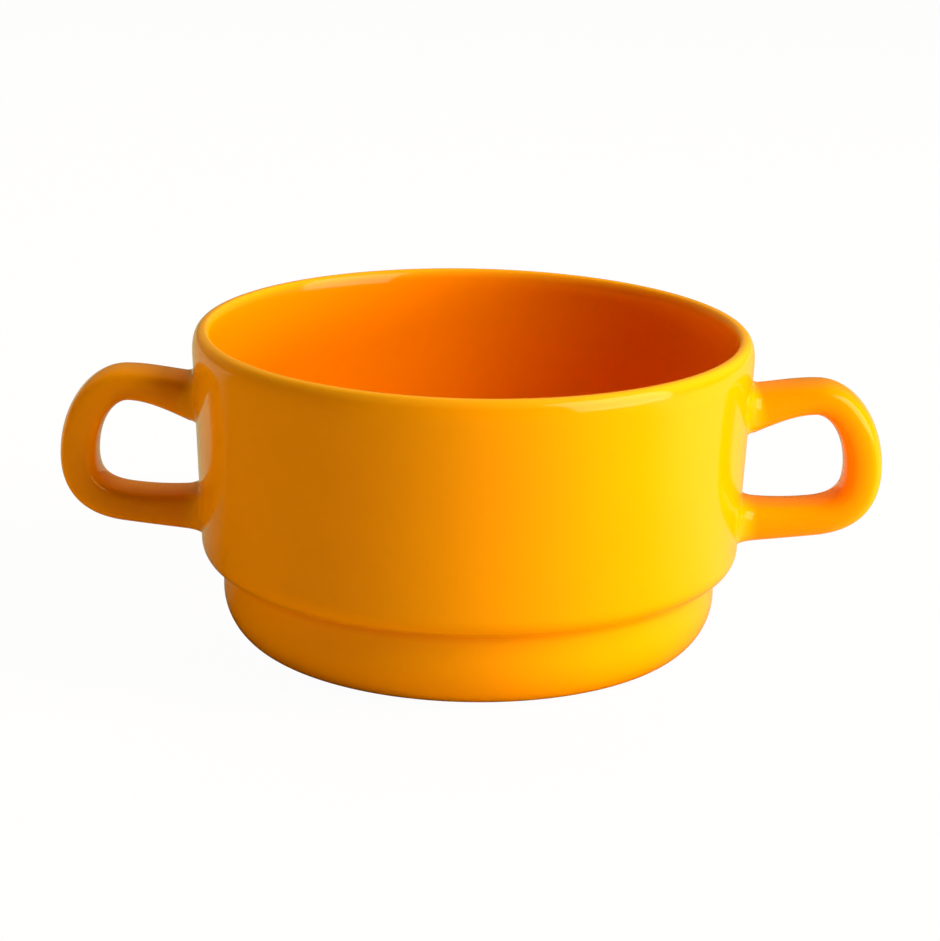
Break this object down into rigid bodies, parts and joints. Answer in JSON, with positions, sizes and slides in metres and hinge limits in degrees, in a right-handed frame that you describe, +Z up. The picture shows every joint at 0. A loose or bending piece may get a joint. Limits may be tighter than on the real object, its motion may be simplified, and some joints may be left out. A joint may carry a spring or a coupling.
{
  "type": "consomme cup",
  "caption": "Stackable glazed soup cup: round bowl with a stepped base that nests in the rim below, and loop handles on opposite sides to lift it by.",
  "frame": {"origin": "on the cup's axis, in the plane that the foot ring stands on", "axes": "+X through the handles, +Z up along the axis of the bowl"},
  "size_m": [0.1548, 0.105, 0.06],
  "materials": {
    "bowl_glaze": "glossy yellow-orange glaze",
    "handle_glaze": "glossy yellow-orange glaze",
    "joint_glaze": "glossy yellow-orange glaze"
  },
  "bodies": {
    "root": {"bowl_body": "bowl_glaze", "handle_left": "handle_glaze", "handle_right": "handle_glaze", "slip_joint_left_upper": "joint_glaze", "slip_joint_left_lower": "joint_glaze", "slip_joint_right_upper": "joint_glaze", "slip_joint_right_lower": "joint_glaze"}
  },
  "joints": []
}
